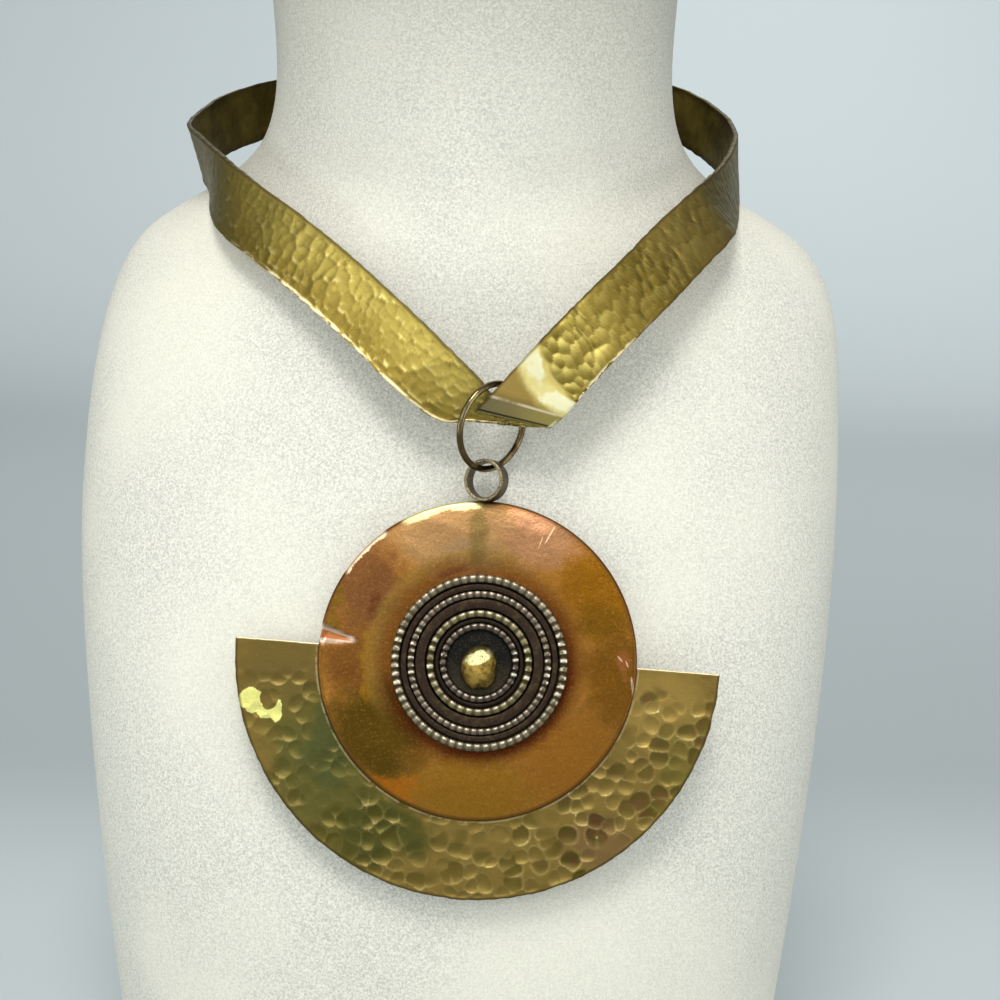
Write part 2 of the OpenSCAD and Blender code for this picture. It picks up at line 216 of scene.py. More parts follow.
class Finish:
    """A material being made: a base colour, the layers laid on it, and one method for its nodes."""

    def __init__(self, name, base, seat=None, metallic=1.0, specular=0.5):
        self.material = bpy.data.materials.new(name)
        self.material.use_nodes = True
        self.tree = self.material.node_tree
        self.tree.nodes.clear()
        self.shader = self.tree.nodes.new("ShaderNodeBsdfPrincipled")
        output = self.tree.nodes.new("ShaderNodeOutputMaterial")
        self.tree.links.new(self.shader.outputs[0], output.inputs["Surface"])
        self.shader.inputs["Metallic"].default_value = metallic
        self.shader.inputs["Specular IOR Level"].default_value = specular
        self.colour = base
        self.place = self.node("ShaderNodeTexCoord", output="Object")
        if seat is not None:
            values = {
                "Vector": self.place,
                "Location": seat.to_translation(),
                "Rotation": seat.to_euler(),
                "Scale": (MM, MM, MM),
            }
            self.place = self.node("ShaderNodeMapping", {"vector_type": "TEXTURE"}, values)

    def put(self, socket, value):
        if isinstance(value, Shade):
            self.tree.links.new(value.socket, socket)
        elif socket.type == "RGBA":
            socket.default_value = (*value, 1.0)
        else:
            socket.default_value = value

    def node(self, kind, settings=None, sockets=None, output=0):
        made = self.tree.nodes.new(kind)
        for name, value in (settings or {}).items():
            setattr(made, name, value)
        for name, value in (sockets or {}).items():
            self.put(made.inputs[name], value)
        return Shade(self, made.outputs[output])

    def mix(self, share, first, second):
        """From the first colour to the second, by a share of 0 to 1."""
        settings = {"data_type": "RGBA", "clamp_factor": True}
        return self.node("ShaderNodeMix", settings, {0: share, 6: first, 7: second}, 2)

    def cover(self, share, colour):
        """Lays a colour over the finish, by a share of 0 to 1."""
        self.colour = self.mix(share, self.colour, colour)

    def paint(self, share, *tone):
        """Lays a display colour of 0 to 255 over the finish, by a share of 0 to 1."""
        self.cover(share, tint(*tone))

    def parts(self, vector=None):
        """The three numbers of a vector, or of the place."""
        made = self.node("ShaderNodeSeparateXYZ", None, {0: vector or self.place})
        return [Shade(self, socket) for socket in made.socket.node.outputs]

    def attribute(self, name, output="Fac"):
        return self.node("ShaderNodeAttribute", {"attribute_name": name}, output=output)

    def attributes(self, *names):
        return [self.attribute(name) for name in names]

    def cloud(self, scale, detail=3.0, roughness=0.55, vector=None):
        """Soft noise from 0 to 1 over the place."""
        place = vector or self.place
        values = {"Vector": place, "Scale": scale, "Detail": detail, "Roughness": roughness}
        return self.node("ShaderNodeTexNoise", None, values)

    def streaks(self, vector, scale, detail=3.0, roughness=0.55):
        """Soft noise with another scale along each axis."""
        values = {"Vector": vector, "Scale": scale}
        stretched = self.node("ShaderNodeMapping", {"vector_type": "POINT"}, values)
        return self.cloud(1.0, detail, roughness, stretched)

    def cells(self, scale):
        """Distance from the nearest of many scattered points."""
        values = {"Vector": self.place, "Scale": scale}
        return self.node("ShaderNodeTexVoronoi", None, values, "Distance")

    def wandering(self, number, scale, reach):
        """A place on the pendant, moved about by noise, so that patches get ragged edges."""
        return number + (self.cloud(scale, 4.0, 0.6) - 0.5) * reach

    def spot(self, right, up, where, reach):
        """A soft oval patch: 1 in the middle, 0 at its edge."""
        across = (right - where[0]) / reach[0]
        along = (up - where[1]) / reach[1]
        return (1.0 - (across * across + along * along)).kept()

    def stain(self, right, up, full, rows):
        """Lays on patches that are full at a share of their reach: place, reach, strength, colour."""
        for where, reach, strength, *tone in rows:
            self.paint(self.spot(right, up, where, reach).between(0.0, full) * strength, *tone)

    def done(self, rough, height, strength, distance, metallic=None):
        """The material, with the values that change over its surface and the height of its relief."""
        relief = {"Height": height, "Strength": strength, "Distance": distance}
        sockets = {
            "Base Color": self.colour,
            "Roughness": rough.kept(),
            "Normal": self.node("ShaderNodeBump", None, relief),
        }
        if metallic:
            sockets["Metallic"] = metallic.kept()
        for name, value in sockets.items():
            self.put(self.shader.inputs[name], value)
        return self.material


def bust_finish(look):
    """Cream stone-like coat with a fine grey mottle."""
    finish = Finish("bust_cream", look.cream, metallic=0.0, specular=0.3)
    grain = 1.0 / look.grain
    fine = finish.cloud(grain, 1.0, 0.5)
    specks = finish.cloud(grain * 0.6, 2.0, 0.65)
    drift = finish.cloud(14.0, 2.0)
    mottle = (fine.between(0.32, 0.7) * 0.65 + specks.between(0.36, 0.7) * 0.5).kept()
    finish.cover(mottle * 0.85, look.mottle)
    warm = [value * scale for value, scale in zip(look.cream, (0.985, 0.97, 0.94))]
    finish.cover(drift.between(0.42, 0.68) * 0.6, warm)
    pits = finish.cells(grain * 0.12).between(0.06, 0.02)
    finish.paint(pits * 0.4, 150, 148, 140)
    # Painted shade: the coat is darker towards the top of the neck.
    finish.paint(finish.parts()[2].between(0.24, 0.315) * 0.5, 148, 148, 136)
    return finish.done(0.5 + fine * 0.2, specks * 0.6 + fine * 0.4 - pits * 0.5, look.relief, 0.0004)


def band_finish(look):
    """Hammered brass on the band's outer side: bright ridges, olive hollows, a painted highlight
    along the lower edge, and painted light and shade on the marks and the fold.
    """
    finish = Finish("band_brass", look.brass)
    paint = finish.paint
    strip = finish.attribute("strip", "Vector")
    along, across, seed = finish.parts(strip)
    ridge, tone, deep, fold, lean = finish.attributes("ridge", "tone", "deep", "fold", "lean")
    fine = finish.cloud(900.0)
    drift = finish.cloud(45.0, 3.0, 0.6)
    right = seed.between(LEFT_SEED, RIGHT_SEED)
    left = 1.0 - right
    front = left * along.between(122.0, 172.0)
    paint(drift.between(0.35, 0.65) * 0.4, 124, 106, 46)
    # Painted shade on the left leg away from its front; across its front, painted light by the upper
    # edge and painted shade by the lower one.
    paint((left - front) * 0.65, 94, 80, 36)
    paint(front * across.between(13.0, 3.0) * 0.45, 206, 188, 100)
    paint(front * across.between(9.0, 15.0) * 0.35, 118, 100, 38)
    paint(tone * 0.2, 116, 100, 44)
    # A painted grey reflection on the left leg's side part.
    side = left * along.within(104.0, 113.0, 122.0, 136.0)
    paint(side * 0.6, 156, 140, 108)
    # A painted highlight on the lit side of each mark, and painted shade on its other side.
    paint(left * lean.between(0.15, 0.75) * (0.22 + front * 0.3), 250, 236, 158)
    paint(left * lean.between(-0.1, -0.7) * (0.35 + front * 0.15), 100, 82, 30)
    paint((1.0 - ridge) * fine.between(0.52, 0.7) * 0.25, 76, 64, 28)
    # The right leg, from the crease up.
    away = along - FOLD_WIDTH
    close = right * away.between(34.0, 12.0)
    # Painted shade on the right leg away from the fold, and a painted highlight further up, where it
    # turns.
    far = right * along.between(20.0, 46.0)
    paint(far * 0.75, 88, 72, 28)
    turned = right * along.within(50.0, 64.0, 76.0, 90.0)
    paint(turned * 0.45, 186, 160, 86)
    # A painted highlight on the lit side of each mark, strongest by the fold, and painted shade on
    # its other side and between the marks.
    lit = right * lean.between(-0.2, 0.6) * deep.between(0.4, 0.8)
    paint(lit * (0.12 + close * 0.5), 250, 234, 138)
    shaded = right * (lean.between(-0.15, -0.75) + deep.between(0.45, 0.15)).kept()
    paint(shaded * (0.3 + close * 0.35), 92, 72, 28)
    # The smooth part above the crease, painted pale as a highlight, with a tan patch and a painted
    # gleam with white cores.
    smooth = fold.between(0.1, 0.9)
    wander = finish.cloud(130.0, 3.0, 0.6)
    ragged = (wander - 0.5) * 7.0
    paint(smooth * 0.95, 226, 206, 122)
    patch = smooth * (away * 1.3 + across * 0.8 + ragged).between(12.0, 7.5)
    paint(patch * 0.95, 160, 134, 72)
    middle = across * -0.6 + across * across * 0.009 + 10.2 + ragged
    gleam = (away - middle) / 3.4
    gleam = (1.0 - gleam * gleam).kept() * (smooth + close * 0.3).kept()
    paint(gleam.between(0.0, 0.8) * 0.85, 246, 234, 158)
    core = finish.spot(across, away, (3.0, 9.3), (5.0, 3.6))
    core = core + finish.spot(across, away, (13.2, 3.7), (5.0, 3.2))
    core = core + (finish.cloud(330.0, 2.0, 0.6) - 0.5) * 2.4
    paint(core.between(0.15, 0.85) * gleam.between(0.0, 0.5), 255, 252, 206)
    # The lip under the crease in painted shade, a painted shadow in the gap behind its edge, a
    # painted reflection along that edge and a painted highlight on the crease.
    slope = finish.mix(across.between(0.0, BAND_WIDTH), tint(146, 132, 94), tint(178, 160, 90))
    slope = finish.mix(drift.between(0.4, 0.6) * 0.4, slope, tint(126, 110, 72))
    finish.cover(right * away.between(0.15, -0.15) * 0.95, slope)
    paint(right * away.between(-3.7, -4.0) * 0.85, 36, 28, 14)
    paint(right * away.between(-4.35, -4.55) * 0.9, 170, 160, 112)
    crease = right * (1.0 - away * away * 4.0).kept()
    paint(crease * wander.between(0.3, 0.5) * 0.95, 255, 228, 190)
    # The upper edge in painted shade, and a painted highlight along the lower edge, broken into
    # streaks.
    highlight_streaks = finish.streaks(strip, (0.35, 1.0, 1.0))
    lower_highlight = left * along.between(146.0, 166.0) * highlight_streaks.between(0.36, 0.56)
    lower_highlight = lower_highlight + right * (1.0 - far) * highlight_streaks.between(0.48, 0.56)
    upper = across.between(0.8, 0.25)
    paint(upper * 0.7, 84, 72, 44)
    paint(across.between(15.0, 15.6) * lower_highlight.kept() * 0.95, 255, 240, 190)
    rough = 0.32 + fine * 0.14 + tone * 0.08 - ridge * 0.04 + upper * 0.2 - gleam * 0.1
    scratches = finish.streaks(strip, (3.2, 0.35, 1.0), 2.0)
    return finish.done(rough, fine * 0.5 + scratches * 0.5 + ridge * 0.4, 0.3, 0.00025)


def band_inner_finish():
    """The band's inner side, hardly polished, and painted brown-olive as shade."""
    finish = Finish("band_inside", tint(128, 110, 52))
    across = finish.parts(finish.attribute("strip", "Vector"))[1]
    drift = finish.cloud(80.0, 3.0, 0.6)
    fine = finish.cloud(700.0)
    finish.paint(drift.between(0.35, 0.65), 88, 74, 32)
    edges = (across.between(2.6, 0.4) + across.between(13.4, 15.6)).kept()
    finish.paint(edges * 0.6, 40, 33, 18)
    finish.paint(finish.attribute("ridge") * 0.25, 120, 104, 56)
    return finish.done(0.42 + fine * 0.25, fine + drift * 0.6, 0.3, 0.0003)


def band_edge_finish():
    """The strip's cut edge: painted pale as a highlight, with painted shade along the top."""
    finish = Finish("band_edge", tint(236, 214, 150))
    strip = finish.attribute("strip", "Vector")
    marks = finish.streaks(strip, (1.6, 0.3, 1.0))
    fine = finish.cloud(1100.0, 2.0)
    finish.paint(marks.between(0.4, 0.62), 128, 104, 56)
    finish.paint(finish.parts(strip)[1].between(12.0, 4.0) * 0.75, 98, 82, 54)
    return finish.done(0.24 + fine * 0.25, marks + fine * 0.5, 0.3, 0.0002)


def wire_finish(look):
    """Brown bronze wire with paler rubbed spots."""
    finish = Finish("wire_bronze", look.wire)
    drift = finish.cloud(160.0, 3.0, 0.6)
    fine = finish.cloud(1400.0, 2.0)
    finish.paint(drift.between(0.42, 0.6), 88, 70, 44)
    finish.paint(fine.between(0.6, 0.75) * 0.4, 54, 42, 28)
    return finish.done(0.15 + drift * 0.14, fine + drift, 0.25, 0.0002)


def disc_finish(look):
    """Heat-stained copper: tan and pink at the top, brown at the sides, olive at the lower left."""
    finish = Finish("disc_copper", look.copper, PENDANT)
    paint = finish.paint
    true_right, true_up, _ = finish.parts()
    reach = radius_of(true_right, true_up)
    right = finish.wandering(true_right, 0.14, 12.0)
    up = finish.wandering(true_up, 0.12, 12.0)
    fine = finish.cloud(2.4, 3.0, 0.6)
    clouds = finish.cloud(0.35, 4.0, 0.6)
    paint(clouds.between(0.35, 0.65) * 0.5, 140, 98, 40)
    stains = [
        ((-6, 31), (24, 13), 0.9, 166, 129, 85),
        ((16, 30), (14, 10), 0.9, 171, 125, 88),
        # A painted highlight, pale pink.
        ((13.5, 34), (8, 4), 0.8, 210, 152, 112),
        # A painted reflection, greyer than the copper.
        ((-3, 25.5), (7, 4), 0.4, 140, 122, 96),
        ((30, 18), (14, 14), 0.9, 141, 93, 16),
        ((30, 10), (8, 5), 0.6, 116, 84, 20),
        ((34, -3), (11, 15), 0.9, 127, 85, 24),
        ((24, -24), (17, 14), 0.8, 162, 106, 38),
        ((-2, -31), (18, 9), 0.85, 154, 110, 32),
        ((-23, -17), (15, 17), 0.9, 86, 67, 16),
        ((-22, -31), (11, 5), 0.8, 186, 108, 24),
        ((-31, 0), (9, 10), 0.8, 114, 72, 32),
        ((-27, 17), (11, 13), 0.9, 112, 72, 42),
        ((-35, 12), (4, 9), 0.7, 112, 84, 24),
        ((-24, 13), (4, 4), 0.7, 96, 52, 30),
        ((-7, 22.5), (4, 2.5), 0.6, 112, 54, 30),
    ]
    finish.stain(right, up, 0.85, stains)
    finish.stain(right, up, 1.0, [((-25.5, -2), (3.0, 10), 0.6, 170, 122, 26)])
    arc = reach.within(22.0, 23.5, 25.5, 28.0)
    paint(arc * (true_up - true_right).between(2.0, 22.0) * 0.7, 146, 112, 52)
    streak = [((-0.5, 30), (3.0, 11), 0.7, 112, 96, 48)]
    finish.stain(true_right * 0.7 + right * 0.3, true_up, 1.0, streak)
    # The dark red halo round the rosette, heaviest at the lower right.
    lean = (true_right * 0.02 - true_up * 0.03 + 0.4).kept()
    halo = (reach + (clouds - 0.5) * 3.0).between(26.8, 21.6) * (0.55 + 0.45 * lean)
    paint(halo * 0.95, 76, 26, 12)
    mottled = finish.cloud(1.5, 4.0, 0.7)
    paint(mottled.between(0.5, 0.72) * 0.3, 84, 52, 22)
    paint(mottled.between(0.48, 0.3) * 0.14, 226, 176, 110)
    glint = finish.cells(1.3).between(0.12, 0.04) * clouds.between(0.5, 0.62)
    paint(glint * 0.22, 255, 214, 170)
    finish.stain(right, up, 0.85, [((35, 0.6), (3, 4), 0.4, 186, 112, 72)])
    # Scratches, and in the last row a painted highlight along the rim at the right: place, lean, half
    # width and half length, strength, colour.
    scratches = [
        (16.6, 30.5, 0.55, (0.25, 2.6), 0.7, 255, 220, 176),
        (14.4, 28.6, 0.35, (0.2, 1.8), 0.5, 255, 214, 160),
        (34.0, 1.3, -0.8, (0.3, 0.8), 0.7, 255, 214, 190),
        (35.7, 0.1, -0.4, (0.25, 0.9), 0.7, 255, 206, 180),
        (37.3, -6.0, -0.15, (0.4, 3.4), 0.7, 255, 240, 220),
    ]
    for x, y, slant, *rest in scratches:
        finish.stain(true_right - true_up * slant, true_up, 0.5, [((x - y * slant, y), *rest)])
    # The rim, and the two places where it carries a painted highlight.
    paint(reach.between(36.9, 37.6) * 0.75, 112, 74, 34)
    ragged = reach + (clouds - 0.5) * 2.4 + (fine - 0.5) * 1.2
    upper = finish.spot(true_right, true_up, (-11, 38), (12, 8)).between(0.0, 0.4)
    paint(ragged.between(36.0, 36.6) * upper * 0.9, 250, 238, 170)
    bend = finish.spot(true_right, true_up, (-28, 26), (7, 8)).between(0.0, 0.4)
    paint(ragged.between(37.0, 37.3) * bend * 0.9, 255, 224, 186)
    crimp, fold, back = finish.attributes("crimp", "fold", "back")
    paint(crimp * fold.between(0.75, 0.35), 186, 116, 66)
    # A painted highlight on the flanks of the crimp.
    paint(crimp * fold.between(0.35, 0.75), 255, 232, 214)
    paint(back * 0.9, 118, 78, 44)
    streaks = finish.streaks(finish.place, (3.0, 0.5, 1.0), 3.0, 0.65)
    height = clouds * 1.2 + fine * 0.35 + finish.cloud(7.0, 2.0) * 0.2 + streaks * 0.3
    return finish.done(0.26 + clouds * 0.16 + fine * 0.1 + halo * 0.15, height, 0.3, 0.0005)


def bail_finish():
    """Dark bronze strip with paler patches on its front rim."""
    finish = Finish("bail_bronze", tint(84, 76, 56), PENDANT)
    drift = finish.cloud(0.5)
    fine = finish.cloud(3.0, 2.0)
    front_rim = finish.attribute("front_rim")
    finish.paint(drift.between(0.4, 0.65), 46, 43, 33)
    finish.paint(front_rim * fine.between(0.35, 0.6) * 0.6, 196, 178, 138)
    return finish.done(0.3 + fine * 0.2 - front_rim * 0.08, fine + drift, 0.25, 0.0003)


def half_moon_finish(look):
    """Hammered brass with green and brown patina in its marks, rubbed rings round them, and painted
    light and shade on the marks and the plate's edges.
    """
    finish = Finish("half_moon_brass", look.brass, PENDANT @ HALF_MOON)
    paint = finish.paint
    true_right, true_up, _ = finish.parts()
    right = finish.wandering(true_right, 0.1, 16.0)
    up = finish.wandering(true_up, 0.085, 16.0)
    ridge, tone, deep, lean, brim = finish.attributes("ridge", "tone", "deep", "lean", "brim")
    fine = finish.cloud(2.6, 3.0, 0.6)
    clouds = finish.cloud(0.3, 4.0, 0.6)
    paint(clouds.between(0.35, 0.65) * 0.5, 126, 106, 54)
    finish.stain(right, up, 0.8, [((-48, -4), (14, 12), 0.85, 116, 98, 52)])
    patina = finish.spot(right, up, (-34, -26), (18, 24)).between(0.0, 0.8)
    finish.cover(patina * 0.85, look.patina)
    stains = [
        ((-33, -22), (8, 13), 0.65, 78, 87, 49),
        ((-20, -42), (15, 10), 0.85, 76, 78, 36),
        ((44, -8), (16, 12), 0.85, 160, 134, 70),
        ((51, -20), (8, 13), 0.6, 114, 106, 48),
        ((33, -41), (11, 8), 0.5, 128, 96, 68),
    ]
    finish.stain(right, up, 0.8, stains)
    # The marks: dark in their hollows, with painted light on the lower side of each, and rubbed on
    # the rings round them, which carry a painted highlight on that side too.
    right_side = true_right.between(6.0, 30.0)
    low = true_up.between(-24.0, -42.0)
    marks = deep.between(0.04, 0.3) * (0.15 + tone.between(0.35, 0.8) * 0.85)
    shade = finish.mix(right_side * clouds.between(0.42, 0.6), tint(84, 76, 28), tint(96, 66, 42))
    finish.cover(marks * (0.2 + low * 0.3 + right_side * 0.45).kept(), shade)
    paint(lean.between(0.0, 0.9) * deep.between(0.0, 0.12) * 0.28, 206, 184, 108)
    rings = ridge * (0.1 + low * 0.3 + right_side * 0.4).kept()
    rings = rings * (0.45 + lean.between(-0.2, 0.6) * 0.55)
    paint(rings * fine.between(0.25, 0.55), 222, 198, 126)
    glint = finish.cells(0.4).between(0.2, 0.1) * ridge * right_side
    paint(glint * 0.9, 255, 244, 190)
    drift = (clouds - 0.5) * 2.4

    def mark(x, y, size):
        reach = radius_of(true_right + drift - x, true_up + drift - y)
        return reach.between(size + 0.15, size - 0.15)

    # Two marks that catch the light at the upper left, cut into by three others.
    facet = mark(-53.3, -13.7, 3.0) * (1.0 - mark(-55.9, -17.5, 1.9))
    facet = facet + mark(-48.6, -15.7, 3.3) * (1.0 - mark(-49.6, -21.0, 3.2))
    facet = facet * (1.0 - mark(-49.1, -13.2, 2.3))
    paint((facet * 0.95).kept(), 255, 252, 150)
    # The solder, the painted shadow line along the disc, painted shade on the outer edge and a
    # painted highlight on the top edge.
    reach = radius_of(true_right, true_up)
    solder = reach.within(38.3, 38.5, 38.7, 38.95) * clouds.between(0.38, 0.52)
    paint(solder * 0.5, 206, 188, 146)
    paint(reach.between(38.4, 38.1) * 0.8, 44, 34, 18)
    outer = radius_of(true_right, true_up - HALF_MOON_UP)
    paint(outer.between(57.3, 57.9) * 0.65, 64, 52, 26)
    paint(brim * 0.95, 250, 236, 196)
    rough = 0.3 + (1.0 - ridge) * 0.12 + fine * 0.12 - facet * 0.16
    return finish.done(rough, fine * 0.4 + clouds * 0.6 + ridge * 0.3, 0.35, 0.0004)


def rosette_finish(look):
    """The rosette's dark plate: brown bands, black grooves and a black dish in the middle."""
    finish = Finish("rosette_dark", look.plate, PENDANT)
    right, up, front = finish.parts()
    right = right - ROSETTE_OFFSET.x
    up = up - ROSETTE_OFFSET.y
    reach = radius_of(right, up)
    fine = finish.cloud(2.4, 3.0, 0.65)
    drift = finish.cloud(0.45)
    raised = front.between(1.45, 1.78)
    # Painted shade in the grooves below each ring: the groove outside a band is lighter below the
    # middle, the one inside a band above it.
    outer = reach.within(16.7, 17.0, 17.4, 17.7) + reach.within(12.0, 12.3, 13.0, 13.3)
    outer = outer + reach.within(9.0, 9.2, 9.7, 9.9)
    above = up.between(-3.0, 3.0)
    above = outer * above + (1.0 - outer) * (1.0 - above)
    finish.cover(1.0 - raised, finish.mix(above, tint(18, 13, 10), tint(50, 39, 31)))
    finish.paint(raised * drift.between(0.5, 0.66) * 0.6, 80, 68, 44)
    finish.paint(raised * fine.between(0.55, 0.75) * 0.4, 120, 106, 90)
    finish.paint(raised * reach.between(11.5, 10.9) * 0.6, 30, 24, 18)
    dish = reach.between(8.0, 7.4)
    middle = finish.mix(fine.between(0.5, 0.72), tint(9, 8, 5), tint(66, 60, 42))
    # Painted light: the dish is lighter towards the bottom.
    middle = finish.mix(up.between(2.0, -6.0) * 0.4, middle, tint(84, 74, 52))
    finish.cover(dish, middle)
    height = fine * (0.4 + dish * 1.2) + drift * 0.3
    return finish.done(0.36 + fine * 0.3, height, 0.5, 0.0005, metallic=0.9 - dish * 0.2)


def ribbed_finish(name, radius, crown, groove):
    """Ribbed wire: dark grooves and rubbed crowns, with painted highlights at both sides and on the
    upper flank.
    """
    finish = Finish(name, crown, PENDANT)
    right, up, front = finish.parts()
    side = (right * right / (right * right + up * up)).between(0.62, 0.94)
    crest = finish.attribute("crest")
    fine = finish.cloud(3.2)
    cut = finish.mix(side, [value * 0.34 for value in crown], groove)
    finish.cover(finish.cloud(0.16, 2.0).between(0.35, 0.65), [value * 0.62 for value in crown])
    finish.cover(crest.between(0.9, 0.25), cut)
    finish.paint(fine.between(0.58, 0.75) * 0.4, 60, 48, 34)
    # A painted highlight on the crowns at both sides of the rosette.
    side_glint = side * crest.between(0.72, 0.98) * finish.cloud(0.55, 1.0).between(0.44, 0.56)
    finish.paint(side_glint * front.between(1.4, 1.9) * 0.8, 255, 248, 220)
    # The upper flank of the wire: rubbed, and painted brighter as a highlight where light falls from
    # above.
    from_middle = right - ROSETTE_OFFSET.x
    above = up - ROSETTE_OFFSET.y
    reach = radius_of(from_middle, above)
    flank = ((reach - radius) * above / reach).between(0.08, 0.5)
    finish.paint(flank * crest.between(0.2, 0.7) * 0.5, 228, 216, 194)
    return finish.done(0.5 - crest * 0.2 + fine * 0.12, fine, 0.25, 0.0003)


def nugget_finish(look):
    """Rough cast brass with a wide rubbed facet that carries a painted highlight."""
    finish = Finish("nugget_brass", look.nugget, PENDANT)
    right, up, front = finish.parts()
    fine = finish.cloud(2.2, 4.0, 0.65)
    drift = finish.cloud(0.5)
    finish.paint(drift.between(0.38, 0.62), 116, 96, 46)
    finish.paint(fine.between(0.58, 0.74) * 0.35, 96, 78, 38)
    # Painted shade low on the nugget, near the plate.
    finish.paint(front.between(3.4, 2.0) * 0.8, 44, 42, 28)
    warp = (drift - 0.5) * 4.0
    tilted = up + warp * 0.5 - right * 0.3
    finish.paint(tilted.between(1.6, 2.6) * 0.75, 92, 92, 60)
    # A painted highlight on the facet.
    facet = finish.spot(right + warp, tilted, (0.2, 0.9), (4.0, 1.9)).between(0.05, 0.5)
    finish.paint(facet * fine.between(0.68, 0.5) * 0.95, 255, 247, 178)
    return finish.done(0.34 + fine * 0.2 - facet * 0.12, fine + drift * 0.8, 0.55, 0.0006)


def backdrop_finish(look):
    """Plain pale paper, a little darker across the middle of the floor as painted shade."""
    finish = Finish("backdrop_paper", look.paper, metallic=0.0, specular=0.1)
    y = finish.parts()[1]
    middle = y.within(0.08, 0.3, 1.1, 2.0)
    share = (middle * 0.85 + finish.cloud(0.9, 1.0).between(0.3, 0.7) * 0.2).kept()
    finish.cover(share, [value * 0.67 for value in look.paper])
    finish.put(finish.shader.inputs["Base Color"], finish.colour)
    finish.put(finish.shader.inputs["Roughness"], 0.9)
    return finish.material


def moved(shape, matrix):
    """Moves a whole shape by a matrix."""
    bmesh.ops.transform(shape, matrix=matrix, verts=shape.verts[:])


def layers(shape, *names):
    """New layers on a shape's points, with a number for each point."""
    return [shape.verts.layers.float.new(name) for name in names]


def facing(shape, behind):
    """Turns the faces of an open shape away from a place behind it."""
    bmesh.ops.recalc_face_normals(shape, faces=shape.faces[:])
    shape.faces.ensure_lookup_table()
    sample = shape.faces[len(shape.faces) // 2]
    if sample.normal.dot(sample.calc_center_median() - Vector(behind)) < 0:
        bmesh.ops.reverse_faces(shape, faces=shape.faces[:])


def linked(name, shape, *materials):
    """A new object in the scene from a shape."""
    mesh = bpy.data.meshes.new(name)
    shape.to_mesh(mesh)
    shape.free()
    for material in materials:
        mesh.materials.append(material)
    mesh.shade_smooth()
    piece = bpy.data.objects.new(name, mesh)
    bpy.context.scene.collection.objects.link(piece)
    return piece


def finished(name, shape, body, node, slot, *materials):
    """Makes a piece from a shape, hangs it on its body and hides the node that it stands for."""
    piece = linked(name, shape, *materials)
    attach(piece, body)
    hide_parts(node)
    return piece


def spun(profile, steps):
    """A closed shape from a profile of radius and height, turned round the Z axis."""
    shape = bmesh.new()
    points = [shape.verts.new((radius, 0.0, height)) for radius, height in profile]
    edges = [shape.edges.new(pair) for pair in zip(points, points[1:])]
    bmesh.ops.spin(
        shape,
        geom=points + edges,
        cent=(0, 0, 0),
        axis=(0, 0, 1),
        dvec=(0, 0, 0),
        angle=2 * pi,
        steps=steps,
        use_merge=True,
        use_duplicate=False,
    )
    bmesh.ops.remove_doubles(shape, verts=shape.verts[:], dist=1e-5)
    bmesh.ops.recalc_face_normals(shape, faces=shape.faces[:])
    return shape


def hoop(radius, wide, high, sides, steps):
    """A ring of wire round the Z axis, from the wire's half width and half height."""
    angles = [2 * pi * k / sides for k in range(sides + 1)]
    return spun([(radius + wide * cos(angle), high * sin(angle)) for angle in angles], steps)


def rounded(corners, radius, steps):
    """A closed row of points with its corners rounded."""
    row = []
    for index, corner in enumerate(corners):
        after = corners[(index + 1) % len(corners)]
        start = corner + (corners[index - 1] - corner).normalized() * radius
        end = corner + (after - corner).normalized() * radius
        for step in range(steps + 1):
            share = step / steps
            row.append(start.lerp(corner, share).lerp(corner.lerp(end, share), share))
    return row + row[:1]


def hollow(x, y, seed, size=1.2, warp=0.2, uneven=0.42):
    """A hammer mark at a place, in marks: depth, nearness of its edge, own tone, height in it."""
    drift = noise.noise_vector(Vector((x * 0.8, y * 0.8, seed)))
    x += drift.x * warp
    y += drift.y * warp
    marks = []
    for column in range(floor(x) - 1, floor(x) + 2):
        for line in range(floor(y) - 1, floor(y) + 2):
            chance = noise.cell_vector(Vector((column + 0.5, line + 0.5, seed)))
            across = column + 0.5 + (chance.x - 0.5) * 2 * uneven - x
            along = line + 0.5 + (chance.y - 0.5) * 2 * uneven - y
            reach = size * (0.75 + 0.5 * chance.z)
            marks.append((hypot(across, along) / reach, chance.z, -along / reach))
    marks.sort()
    near, next_near = marks[0][0], marks[1][0]
    edge = min(1.0 - near, (next_near - near) / 2) if near < 1.0 else near - 1.0
    return max(1.0 - near * near, 0.0), 1.0 - ease(edge / 0.15), marks[0][1], marks[0][2]


